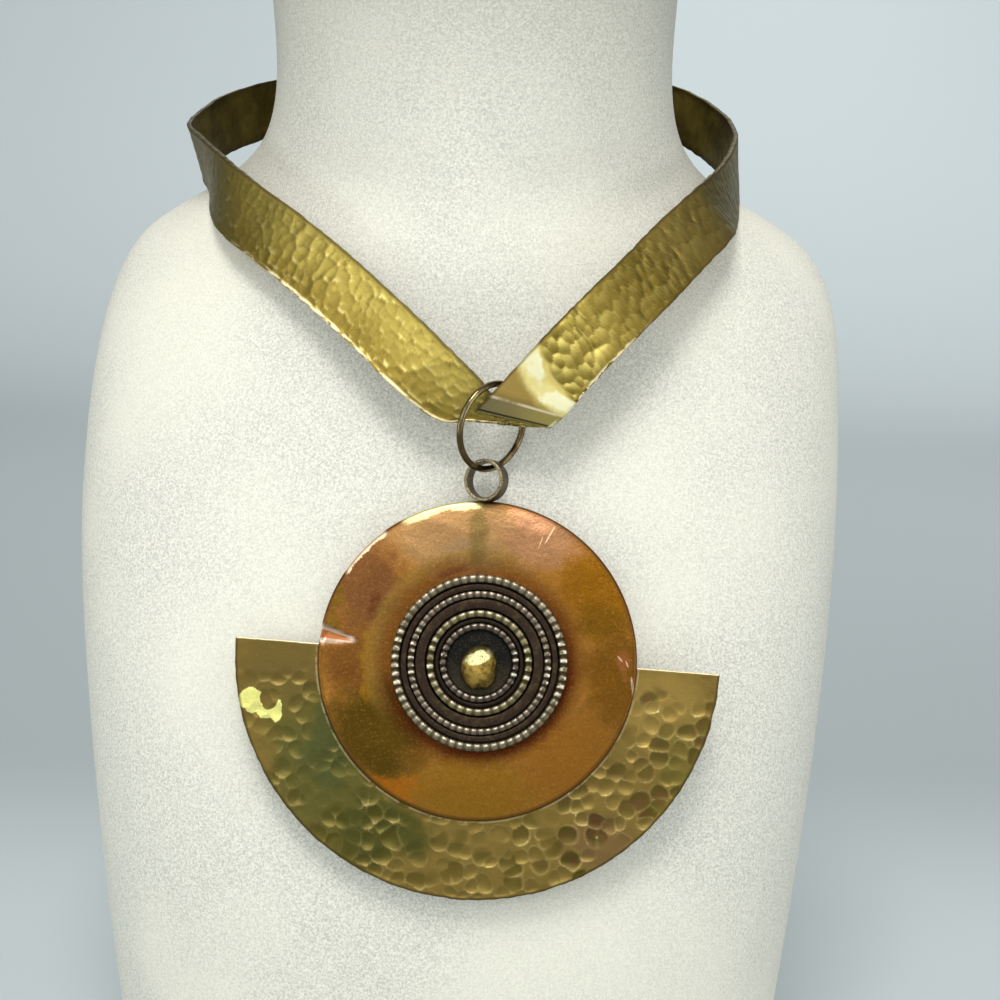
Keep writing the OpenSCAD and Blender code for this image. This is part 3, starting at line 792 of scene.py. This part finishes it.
class Strip:
    """A strip of sheet through rows of upper and lower edge points, in millimetres."""

    def __init__(self, rows, steps=10, straight=0):
        self.rows = []
        last = len(rows) - 1
        for index in range(last):
            places = (max(index - 1, 0), index, index + 1, min(index + 2, last))
            a, b, c, d = (Vector(rows[place]) for place in places)
            if index == straight:
                a = b
            for step in range(steps):
                t = step / steps
                if index < straight:
                    self.rows.append(b.lerp(c, t))
                    continue
                cubic = 3 * b - a - 3 * c + d
                square = 2 * a - 5 * b + 4 * c - d
                self.rows.append((2 * b + (c - a) * t + square * t**2 + cubic * t**3) * 0.5)
        self.rows.append(Vector(rows[last]))
        self.along = [0.0]
        for first, second in zip(self.rows, self.rows[1:]):
            self.along.append(self.along[-1] + (self.middle(second) - self.middle(first)).length)
        self.length = self.along[-1]

    @staticmethod
    def middle(row):
        return (Vector(row[:3]) + Vector(row[3:])) / 2

    def row(self, along):
        """The upper and the lower edge point at a distance along the strip."""
        index = min(max(bisect_right(self.along, along) - 1, 0), len(self.rows) - 2)
        share = (along - self.along[index]) / (self.along[index + 1] - self.along[index])
        row = self.rows[index].lerp(self.rows[index + 1], share)
        return Vector(row[:3]), Vector(row[3:])

    def frame(self, along, crease):
        """Upper point, lower point and heading at a distance along; a crease is a little rounded."""
        steps = (-0.4, -0.2, 0.0, 0.2, 0.4) if crease and abs(along - crease) < 1.0 else (0.0,)
        rows = [self.row(along + step) for step in steps]
        upper, lower = (sum(points, Vector((0, 0, 0))) / len(rows) for points in zip(*rows))
        before = self.row(max(along - 0.6, 0.0))
        after = self.row(min(along + 0.6, self.length))
        return upper, lower, (after[0] + after[1] - before[0] - before[1]).normalized()


def strip_rows(stations):
    """Upper and lower edge points from stations that give a step across."""
    rows = []
    for station in stations:
        upper = Vector(station[:3])
        rows.append([*upper, *(upper + Vector(station[3:]).normalized() * BAND_WIDTH)])
    return rows


def strip_shape(strip, spacing, marks, seed, hole_place, crease=None):
    """The strip's middle surface with its hammered hollows, and what the finish needs to know.

    The marks are given by their width, their height and their slant.
    """
    shape = bmesh.new()
    bmesh.ops.create_grid(
        shape,
        x_segments=round(strip.length / spacing),
        y_segments=round(BAND_WIDTH / spacing),
        size=0.5,
    )
    for vert in shape.verts:
        vert.co = Vector(((vert.co.x + 0.5) * strip.length, (vert.co.y + 0.5) * BAND_WIDTH, 0.0))
    hole = Vector((hole_place, BAND_WIDTH / 2, 0))
    inside = [vert for vert in shape.verts if (vert.co - hole).length < HOLE_RADIUS]
    bmesh.ops.delete(shape, geom=inside, context="VERTS")
    for vert in shape.verts:
        away = vert.co - hole
        if away.length < 2.0 and vert.is_boundary:
            vert.co = hole + away.normalized() * HOLE_RADIUS
    flat = shape.verts.layers.float_vector.new("strip")
    ridges, tones, folds, deeps, leans = layers(shape, "ridge", "tone", "fold", "deep", "lean")
    wide, tall, slant = marks
    frames = {}
    for vert in shape.verts:
        along, across = vert.co.x, vert.co.y
        key = round(along, 4)
        if key not in frames:
            frames[key] = strip.frame(along, crease)
        upper, lower, heading = frames[key]
        outward = (lower - upper).cross(heading).normalized()
        a = (along + across * slant) / wide
        b = (across - along * slant) / tall
        depth, ridge, tone, lean = hollow(a, b, seed)
        fold = 0.0
        rise = -0.42 * depth + 0.12
        if crease:
            lean = -lean
            fold = 1.0 - ease((along - crease - 12.0 + across * 0.45 + (depth - 0.5) * 2.0) / 1.6)
            close = 1.0 - ease((along - crease - 14.0) / 24.0)
            rise = (depth - 0.75) * (0.5 + 0.5 * close)
        edge = min(across, BAND_WIDTH - across)
        strength = ease(edge / 1.4) * (1 - 0.95 * fold)
        ragged = noise.noise(Vector((along / 2.6, seed, across))) * 0.22 * (1 - ease(edge / 1.0))
        dent = ripple(along, across, 9, seed + 3.1) * 0.18
        place = upper.lerp(lower, across / BAND_WIDTH) + (lower - upper).normalized() * ragged
        vert[flat] = Vector((along, across, seed))
        vert[ridges] = ridge * strength
        vert[tones] = tone
        vert[folds] = fold
        vert[deeps] = depth * strength
        vert[leans] = lean * strength
        vert.co = (place + outward * (rise * strength - dent)) * MM
    facing(shape, NECK_MIDDLE)
    return shape


def colour_setting(name, description, *tone):
    """A colour in the sidebar, from a display colour."""
    return FloatVectorProperty(
        name=name, description=description, subtype="COLOR", size=3, default=tint(*tone)
    )


def number_setting(name, description, default, low, **others):
    """A number in the sidebar, with the lowest value that it can have."""
    return FloatProperty(name=name, description=description, default=default, min=low, **others)


def length_setting(name, description, default, low, **others):
    """A length in the sidebar, in metres."""
    return number_setting(name, description, default, low, unit="LENGTH", **others)


class BustLook(bpy.types.PropertyGroup):
    cream: colour_setting("Cream", "Colour of the bust's coat", 238, 237, 224)
    mottle: colour_setting("Mottle", "Colour of the fine mottle in the coat", 184, 183, 173)
    grain: length_setting("Grain", "Size of the mottle", 0.00045, 0.0002)
    relief: number_setting("Relief", "Strength of the coat's roughness", 0.25, 0.0, max=1.0)


class BandLook(bpy.types.PropertyGroup):
    brass: colour_setting("Brass", "Colour of the band's clean brass", 166, 146, 68)
    thickness: length_setting("Thickness", "Thickness of the strip", 0.0012, 0.0008, max=0.0014)
    spacing: length_setting(
        "Spacing", "Distance between the points of the strip's surface", 0.00047, 0.00044
    )


class WireLook(bpy.types.PropertyGroup):
    wire: colour_setting("Wire", "Colour of the jump ring and clasp", 126, 112, 80)


class DiscLook(bpy.types.PropertyGroup):
    copper: colour_setting("Copper", "Colour of the disc's clean copper", 170, 116, 48)


class HalfMoonLook(bpy.types.PropertyGroup):
    brass: colour_setting("Brass", "Colour of the plate's clean brass", 136, 114, 58)
    patina: colour_setting("Patina", "Colour of the green patina", 96, 94, 48)
    hollow: length_setting("Hollow", "Width of a hammered hollow", 0.004, 0.0015)


class RosetteLook(bpy.types.PropertyGroup):
    plate: colour_setting("Plate", "Colour of the rosette's plain raised bands", 54, 41, 31)
    nugget: colour_setting("Nugget", "Colour of the nugget", 172, 142, 70)


class StageLook(bpy.types.PropertyGroup):
    paper: colour_setting("Paper", "Colour of the floor and backdrop", 196, 205, 207)
    light: number_setting("Light", "Strength of the studio light", 1.0, 0.0)


class ChokerLook(bpy.types.PropertyGroup):
    bust: PointerProperty(type=BustLook, name="Bust", description="Look of the neck bust")
    band: PointerProperty(type=BandLook, name="Band", description="Look of the brass band")
    wire: PointerProperty(type=WireLook, name="Wire", description="Look of the wire pieces")
    disc: PointerProperty(type=DiscLook, name="Disc", description="Look of the copper disc")
    half_moon: PointerProperty(
        type=HalfMoonLook, name="Half moon", description="Look of the half-moon plate"
    )
    rosette: PointerProperty(type=RosetteLook, name="Rosette", description="Look of the rosette")
    stage: PointerProperty(type=StageLook, name="Stage", description="Look of the stage")


class CHOKER_OT_bust(bpy.types.Operator):
    """Smooth the neck bust and give it its cream coat"""

    bl_idname = "choker.bust"
    bl_label = "Neck Bust"

    def execute(self, context):
        shape = bmesh.new()
        shape.from_mesh(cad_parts["neck_bust"].data)
        bmesh.ops.remove_doubles(shape, verts=shape.verts[:], dist=1e-6)
        heights = [vert.co.z for vert in shape.verts]
        for level in (min(heights), max(heights)):
            flat = [f for f in shape.faces if all(abs(v.co.z - level) < 1e-6 for v in f.verts)]
            if not flat:
                raise RuntimeError("the bust has no flat end")
            bmesh.ops.dissolve_faces(shape, faces=flat)
        bmesh.ops.join_triangles(
            shape,
            faces=[face for face in shape.faces if len(face.verts) == 3],
            angle_face_threshold=pi,
            angle_shape_threshold=pi,
        )
        # Rings inside the two flat ends keep their edges crisp when the shape is smoothed.
        for inset in (0.0012, 0.012, 0.018):
            ends = [face for face in shape.faces if len(face.verts) > 8]
            bmesh.ops.inset_region(shape, faces=ends, thickness=inset, use_even_offset=True)
        coat = bust_finish(context.scene.choker.bust)
        piece = finished("bust_coat", shape, "bust", "neck_bust", "bust_cream", coat)
        smooth = piece.modifiers.new("Smooth", "SUBSURF")
        smooth.levels = 2
        smooth.render_levels = 2
        return {"FINISHED"}


class CHOKER_OT_band(bpy.types.Operator):
    """Hammer the brass strip, fold it into a V and give it its thickness"""

    bl_idname = "choker.band"
    bl_label = "Choker Band"

    def execute(self, context):
        look = context.scene.choker.band
        spacing = look.spacing / MM
        left = Strip([LEFT_END] + strip_rows(LEFT_STATIONS) + LEFT_FOOT)
        fold = [FOLD_LIP, FOLD_CREASE, FOLD_LEG]
        right = Strip(fold + strip_rows(RIGHT_STATIONS) + [RIGHT_END], straight=1)
        crease = (Strip.middle(FOLD_CREASE) - Strip.middle(FOLD_LIP)).length
        shape = strip_shape(left, spacing, (2.7, 2.4, 0.1), LEFT_SEED, HOLE_PLACE)
        far_hole = right.length - HOLE_PLACE
        other = strip_shape(right, spacing, (1.9, 3.7, 0.3), RIGHT_SEED, far_hole, crease)
        mesh = bpy.data.meshes.new("joining")
        other.to_mesh(mesh)
        other.free()
        shape.from_mesh(mesh)
        bpy.data.meshes.remove(mesh)
        materials = band_finish(look), band_inner_finish(), band_edge_finish()
        piece = finished("band_strip", shape, "bust", "choker_band", "band_brass", *materials)
        wall = piece.modifiers.new("Sheet", "SOLIDIFY")
        wall.thickness = look.thickness
        wall.offset = 0
        wall.material_offset = 1
        wall.material_offset_rim = 2
        return {"FINISHED"}


class CHOKER_OT_wire(bpy.types.Operator):
    """Make the jump ring at the foot of the V and the clasp behind the neck"""

    bl_idname = "choker.wire"
    bl_label = "Jump Ring and Clasp"

    def execute(self, context):
        material = wire_finish(context.scene.choker.wire)
        radius, wire = 10.4, 0.8
        seat = Matrix.Translation((0.0094, -0.072, 0.2047))
        turn = Matrix.Rotation(radians(44), 4, "Z") @ Matrix.Rotation(radians(6), 4, "X")
        drop = Matrix.Translation((0, 0, -radius * MM)) @ Matrix.Rotation(radians(90), 4, "X")
        ring = hoop(radius, wire, wire, 20, 160)
        for vert in ring.verts:
            angle = atan2(vert.co.y, vert.co.x)
            wobble = noise.noise(Vector((3 * cos(angle), 3 * sin(angle), 0.7)))
            vert.co = vert.co * (1 + 0.004 * wobble)
        moved(ring, seat @ turn @ drop @ TO_MM)
        finished("jump_ring_wire", ring, "bust", "jump_ring", "wire_bronze", material)

        # The clasp is a ring of the same wire, cut in two and drawn out into a long link.
        link = hoop(2.75, wire, wire, 16, 64)
        bmesh.ops.bisect_plane(
            link,
            geom=link.verts[:] + link.edges[:] + link.faces[:],
            dist=1e-5,
            plane_co=(0, 0, 0),
            plane_no=(1, 0, 0),
        )
        for vert in link.verts:
            if abs(vert.co.x) > 1e-4:
                vert.co.x += 5.0 if vert.co.x > 0 else -5.0
        middle = [edge for edge in link.edges if min(abs(v.co.x) for v in edge.verts) < 1e-4]
        long_ones = [edge for edge in middle if edge.calc_length() > 3]
        bmesh.ops.subdivide_edges(link, edges=long_ones, cuts=3, use_grid_fill=True)
        moved(link, Matrix.Translation((0, 0.055, 0.273)) @ TO_MM)
        finished("clasp_link", link, "bust", "clasp", "wire_bronze", material)
        return {"FINISHED"}


class CHOKER_OT_disc(bpy.types.Operator):
    """Spin the copper disc, dent its border and set the bail on its rim"""

    bl_idname = "choker.disc"
    bl_label = "Copper Disc"

    def execute(self, context):
        border = [(DISC_FLAT + DISC_BORDER * k / 22, -DISC_FALL * (k / 22) ** 2) for k in range(23)]
        rim = DISC_FLAT + DISC_BORDER
        turns = [radians(90 * k / 6) for k in range(1, 7)]
        profile = [(DISC_FLAT * k / 14, 0.0) for k in range(14)] + border
        profile += [(rim + sin(angle), cos(angle) - DISC_FALL - 1.0) for angle in turns]
        profile += [(38.2, -2.75), (38.2, -3.05), (38.05, -3.2), (37.6, -3.22), (37.3, -3.18)]
        profile += [(37.2, -3.0), (37.2, -2.7)]
        profile += [(radius - 0.06, height - 1.0) for radius, height in reversed(border)]
        profile += [(DISC_FLAT * k / 8, -1.0) for k in range(7, -1, -1)]
        shape = spun(profile, 288)
        crimps, folds, backs = layers(shape, "crimp", "fold", "back")
        for vert in shape.verts:
            x, y = vert.co.x, vert.co.y
            reach = hypot(x, y)
            dome = -DISC_FALL * max((reach - DISC_FLAT) / DISC_BORDER, 0.0) ** 2
            vert[backs] = 1.0 if vert.co.z < dome - 0.5 and reach < 37.25 else 0.0
            dent = ripple(x, y, 11, 2.0) * 0.45 + ripple(x, y, 4.5, 5.0) * 0.1
            # The crimp is a pinched dent that widens towards the left edge.
            share = (-28.7 - x) / 8.5
            away = abs(y - 4.0 - 1.5 * share) / (0.25 + 1.75 * max(share, 0.0))
            crimp = ease(share * 5) * (1 - ease(away - 0.35)) if share > 0 else 0.0
            wave = ripple(x, y, 15, 9.0) * 0.16 * ease((reach - 27.0) / 11.0)
            free = ease((vert.co.z + 3.1) / 0.8)
            vert.co.z -= (abs(dent) * 0.7 + abs(wave)) * ease((reach - 22.0) / 6.0) * free
            vert.co.z -= crimp * min(1.4 * share, 1.3) * (1 - ease((reach - 37.2) / 1.0))
            squeeze = 1 - 0.006 * crimp - 0.002 * abs(wave)
            vert.co.x *= squeeze
            vert.co.y *= squeeze
            vert[crimps] = crimp
            vert[folds] = min(away, 1.0)
        moved(shape, PENDANT @ TO_MM)
        material = disc_finish(context.scene.choker.disc)
        finished("disc_shell", shape, "pendant", "disc", "disc_copper", material)

        corners = [Vector(corner) for corner in ((4.25, -1.9), (5.1, -1.9), (5.1, 1.9), (4.25, 1.9))]
        bail = spun(rounded(corners, 0.3, 3), 96)
        (front_rims,) = layers(bail, "front_rim")
        for vert in bail.verts:
            angle = atan2(vert.co.y, vert.co.x)
            vert[front_rims] = ease((vert.co.z - 1.45) / 0.3)
            vert.co.z *= 1 + 0.05 * noise.noise(Vector((2 * cos(angle), 2 * sin(angle), 4.0)))
        seat = Matrix.Translation((1.0, 43.1, -1.5)) @ Matrix.Rotation(radians(-24), 4, "Y")
        moved(bail, PENDANT @ TO_MM @ seat)
        finished("bail_strip", bail, "pendant", "disc", "disc_copper", bail_finish())
        return {"FINISHED"}


class CHOKER_OT_half_moon(bpy.types.Operator):
    """Hammer the half-moon plate that hangs behind the disc"""

    bl_idname = "choker.half_moon"
    bl_label = "Half Moon"

    def execute(self, context):
        look = context.scene.choker.half_moon
        width = look.hollow / MM
        # The middle of the plate is hidden behind the disc, so it has few of the rows.
        hidden = 34.0
        few = 0.12
        shape = bmesh.new()
        bmesh.ops.create_grid(shape, x_segments=440, y_segments=86, size=0.5)
        ridges, tones, deeps, leans, brims = layers(shape, "ridge", "tone", "deep", "lean", "brim")
        for vert in shape.verts:
            angle = pi + (vert.co.x + 0.5) * pi
            share = vert.co.y + 0.5
            reach = hidden * share / few
            if share >= few:
                reach = hidden + (HALF_MOON_RADIUS - hidden) * (share - few) / (1 - few)
            x, y = reach * cos(angle), reach * sin(angle)
            depth, ridge, tone, height = hollow(
                x / width, y / width, seed=7.7, size=0.56, warp=0.25, uneven=0.45
            )
            side = ease((x + 30) / 50) * 0.5 + ease((-34 - y) / 14) * 0.5
            clear = min(max(0.45 + 1.7 * ripple(x, y, 8, 12.0) + side * 0.55, 0.22), 1.0)
            clear *= 0.2 + 0.8 * ease((-y - 3) / 8)
            arc = ease(0.62 + 2.2 * ripple(x, y, 4.5, 20.0))
            edge = min(HALF_MOON_RADIUS - reach, -y)
            strength = ease((edge + 0.2) / 1.2) * clear
            ragged = abs(ripple(x, y, 3.1, 6.0) * 0.22 + ripple(x, y, 9, 8.0) * 0.2)
            inward = (ragged + 0.02) * ease((reach - HALF_MOON_RADIUS + 3) / 3) / HALF_MOON_RADIUS
            vert[ridges] = ridge * strength * arc
            vert[tones] = tone
            vert[deeps] = depth * strength
            vert[leans] = -height * strength
            vert[brims] = 1.0 - ease(-y / 0.4)
            sink = (0.32 * depth + abs(ripple(x, y, 17, 3.0) * 0.15)) * strength
            top = ragged * 0.8 * (1 - ease(-y / 1.5))
            vert.co = Vector((x * (1 - inward), y * (1 - inward) - top, -sink))
        bmesh.ops.remove_doubles(shape, verts=shape.verts[:], dist=1e-3)
        facing(shape, (0, 0, -HALF_MOON_RADIUS))
        moved(shape, PENDANT @ TO_MM @ HALF_MOON @ Matrix.Translation((0, HALF_MOON_UP, -3.3)))
        material = half_moon_finish(look)
        piece = finished(
            "half_moon_plate", shape, "pendant", "half_moon", "half_moon_brass", material
        )
        wall = piece.modifiers.new("Plate", "SOLIDIFY")
        wall.thickness = 0.00095
        wall.offset = -1
        return {"FINISHED"}


class CHOKER_OT_rosette(bpy.types.Operator):
    """Make the rosette: its plate, four ribbed rings and the nugget"""

    bl_idname = "choker.rosette"
    bl_label = "Rosette"

    def execute(self, context):
        look = context.scene.choker.rosette
        seat = PENDANT @ TO_MM @ Matrix.Translation(ROSETTE_OFFSET)
        low, top = ROSETTE_FLOOR, ROSETTE_TOP
        soft = 0.22
        bevel = soft * 0.3
        profile = [(9.3 * k / 16, low) for k in range(17)]
        for inner, outer in ROSETTE_BANDS:
            profile += [(inner - 0.02, low), (inner, low + 0.2), (inner, top - soft)]
            profile += [(inner + bevel, top - bevel), (inner + soft, top)]
            profile += [((inner + outer) / 2, top + 0.02), (outer - soft, top)]
            profile += [(outer - bevel, top - bevel), (outer, top - soft)]
            profile += [(outer, low + 0.2), (outer + 0.02, low), (outer + 0.3, low)]
        profile += [(20.5, low), (20.8, 0.82), (20.9, 0.65), (20.9, 0.2), (20.8, 0.02)]
        profile += [(20.6, 0.0), (0.0, 0.0)]
        plate = spun(profile, 240)
        for vert in plate.verts:
            x, y = vert.co.x, vert.co.y
            reach = hypot(x, y)
            if reach < 7.8 and vert.co.z > 0.5:
                rough = noise.fractal(Vector((x / 1.6, y / 1.6, 1.0)), 1.0, 2.0, 3)
                vert.co.z += 0.16 * rough * ease((7.8 - reach) / 1.2)
            elif vert.co.z > 1.3:
                vert.co.z -= 0.09 * abs(ripple(x, y, 2.2, 2.0))
        moved(plate, seat)
        material = rosette_finish(look)
        finished("rosette_plate", plate, "pendant", "rosette_base", "rosette_dark", material)

        for number, (radius, wire, wide, ribs, crown, groove) in enumerate(RIBBED_RINGS, 1):
            ring = hoop(radius, wide, wire, 12, ribs * 8)
            (crests,) = layers(ring, "crest")
            for vert in ring.verts:
                angle = atan2(vert.co.y, vert.co.x)
                centre = Vector((radius * cos(angle), radius * sin(angle), 0))
                phase = (angle / (2 * pi) * ribs) % 1.0
                size = noise.noise(Vector((angle * ribs * 0.7, number, 0.3)))
                crest = ease((0.5 - abs(phase - 0.5)) / (0.42 + 0.08 * size))
                around = vert.co - centre
                around.z *= 1 - 0.32 * (1 - crest)
                vert.co = centre + around * (1 - 0.08 * (1 - crest)) * (1 - 0.05 * abs(size))
                vert[crests] = crest
            moved(ring, seat @ Matrix.Translation((0, 0, ROSETTE_FLOOR + 0.1 + wire)))
            name = f"ribbed_ring_{number}"
            material = ribbed_finish(name, radius, tint(*crown), tint(*groove))
            finished(name, ring, "pendant", f"beaded_ring_{number}", "beaded_wire", material)

        lump = bmesh.new()
        bmesh.ops.create_icosphere(lump, subdivisions=6, radius=1.0)
        for vert in lump.verts:
            x, y, z = vert.co
            reach = 1.0 + 0.07 * noise.noise(vert.co * 1.3) + 0.04 * noise.noise(vert.co * 4.0)
            reach += 0.02 * noise.noise(vert.co * 11.0)
            facet = vert.co.dot(Vector((0.0, 0.4, 0.92)))
            if facet > 0.84:
                reach -= (facet - 0.84) * 0.6
            # A block with round corners, with three more flats cut off it.
            reach /= (abs(x) ** 2.5 + abs(y) ** 2.5 + abs(z) ** 2.5) ** 0.4
            for way in ((0.8, -0.1, 0.59), (-0.72, -0.4, 0.57), (0.1, -0.82, 0.56)):
                reach -= max(vert.co.dot(Vector(way)) - 0.88, 0.0) * 0.6
            vert.co = Vector((x * 4.3, y * 5.2, max(z, -0.05) * 3.9 + 0.1)) * min(reach, 1.05)
        moved(lump, seat @ Matrix.Translation((0, -1.1, 1.05)))
        material = nugget_finish(look)
        finished("nugget_lump", lump, "pendant", "nugget", "nugget_brass", material)
        return {"FINISHED"}


def area_light(name, place, aim, size, power, colour=(1, 1, 1)):
    """A soft square light aimed at a point."""
    data = bpy.data.lights.new(name, "AREA")
    data.shape = "RECTANGLE"
    data.size, data.size_y = size
    data.energy = power
    data.color = colour
    lamp = bpy.data.objects.new(name, data)
    bpy.context.scene.collection.objects.link(lamp)
    lamp.location = place
    lamp.rotation_euler = (Vector(aim) - Vector(place)).to_track_quat("-Z", "Y").to_euler()


class CHOKER_OT_stage(bpy.types.Operator):
    """Set the pale floor, the soft lights and the camera"""

    bl_idname = "choker.stage"
    bl_label = "Stage"

    def execute(self, context):
        look = context.scene.choker.stage
        scene = context.scene
        # Paper that lies flat, turns up in a quarter round and goes on as a wall.
        floor_end, bend_end, bend = 3.6, 4.8, 0.76
        shape = bmesh.new()
        bmesh.ops.create_grid(shape, x_segments=4, y_segments=60, size=0.5)
        for vert in shape.verts:
            along = (vert.co.y + 0.5) * 6.0
            x = vert.co.x * 8.0
            if along < floor_end:
                vert.co = Vector((x, along - 2.2, 0))
            elif along < bend_end:
                angle = (along - floor_end) / (bend_end - floor_end) * pi / 2
                vert.co = Vector((x, 1.4 + bend * sin(angle), bend * (1 - cos(angle))))
            else:
                vert.co = Vector((x, 1.4 + bend, bend + (along - bend_end) * 2.2))
        bmesh.ops.recalc_face_normals(shape, faces=shape.faces[:])
        linked("backdrop", shape, backdrop_finish(look))

        world = bpy.data.worlds.new("studio")
        world.use_nodes = True
        background = world.node_tree.nodes["Background"]
        background.inputs["Color"].default_value = (0.92, 0.95, 0.95, 1)
        background.inputs["Strength"].default_value = 0.32 * look.light
        scene.world = world
        chest = (0, -0.08, 0.1)
        lights = [
            ("key", (-0.1, -1.2, 2.1), chest, (0.8, 0.8), 30.5, (1, 0.99, 0.97)),
            ("front", (-0.1, -1.3, 0.5), chest, (0.8, 0.6), 1.4, (1, 0.99, 0.96)),
            ("left", (-0.7, -0.9, 0.7), chest, (0.6, 0.6), 2.4),
            ("right", (0.7, -0.85, 0.85), chest, (0.6, 0.6), 2.4),
            ("left low", (-0.8, -0.45, 0.1), chest, (0.4, 0.4), 1.7),
            ("right low", (0.8, -0.45, 0.1), chest, (0.4, 0.4), 1.7),
            ("wall", (0.35, 0.8, 1.5), (0.2, 2.1, 0.5), (0.8, 0.8), 17.5),
        ]
        for name, place, aim, size, power, *colour in lights:
            area_light(name, place, aim, size, power * look.light, *colour)

        scene.view_settings.view_transform = "Standard"
        data = bpy.data.cameras.new("camera")
        data.lens = 72
        data.sensor_width = 36
        data.clip_start = 0.05
        data.clip_end = 50
        camera = bpy.data.objects.new("camera", data)
        scene.collection.objects.link(camera)
        tilt, roll = radians(10), radians(1.5)
        ahead = Vector((0, cos(tilt), -sin(tilt)))
        level = Vector((1, 0, 0))
        upright = level.cross(ahead)
        right = level * cos(roll) + upright * sin(roll)
        up = upright * cos(roll) - level * sin(roll)
        columns = Matrix((right, up, -ahead)).transposed()
        camera.matrix_world = Matrix.Translation((0.011, -0.544, 0.260)) @ columns.to_4x4()
        scene.camera = camera
        return {"FINISHED"}


STEPS = (
    CHOKER_OT_bust,
    CHOKER_OT_band,
    CHOKER_OT_wire,
    CHOKER_OT_disc,
    CHOKER_OT_half_moon,
    CHOKER_OT_rosette,
    CHOKER_OT_stage,
)


class CHOKER_PT_pieces(bpy.types.Panel):
    """A button for each step, and the looks of each group of pieces"""

    bl_idname = "CHOKER_PT_pieces"
    bl_label = "Medallion Choker"
    bl_space_type = "VIEW_3D"
    bl_region_type = "UI"
    bl_category = "Choker"

    def draw(self, context):
        layout = self.layout
        for step in STEPS:
            layout.operator(step.bl_idname)
        look = context.scene.choker
        for part in look.__annotations__:
            box = layout.box()
            box.label(text=part.replace("_", " ").capitalize())
            group = getattr(look, part)
            for name in group.__annotations__:
                box.prop(group, name)


LOOKS = (BustLook, BandLook, WireLook, DiscLook, HalfMoonLook, RosetteLook, StageLook, ChokerLook)
CLASSES = (*LOOKS, *STEPS, CHOKER_PT_pieces)


def register():
    for item in CLASSES:
        bpy.utils.register_class(item)
    bpy.types.Scene.choker = PointerProperty(type=ChokerLook)


def unregister():
    del bpy.types.Scene.choker
    for item in reversed(CLASSES):
        bpy.utils.unregister_class(item)


def main():
    register()
    bpy.ops.choker.bust()
    bpy.ops.choker.band()
    bpy.ops.choker.wire()
    bpy.ops.choker.disc()
    bpy.ops.choker.half_moon()
    bpy.ops.choker.rosette()
    bpy.ops.choker.stage()
    bpy.context.view_layer.update()


if __name__ == "__main__":
    main()
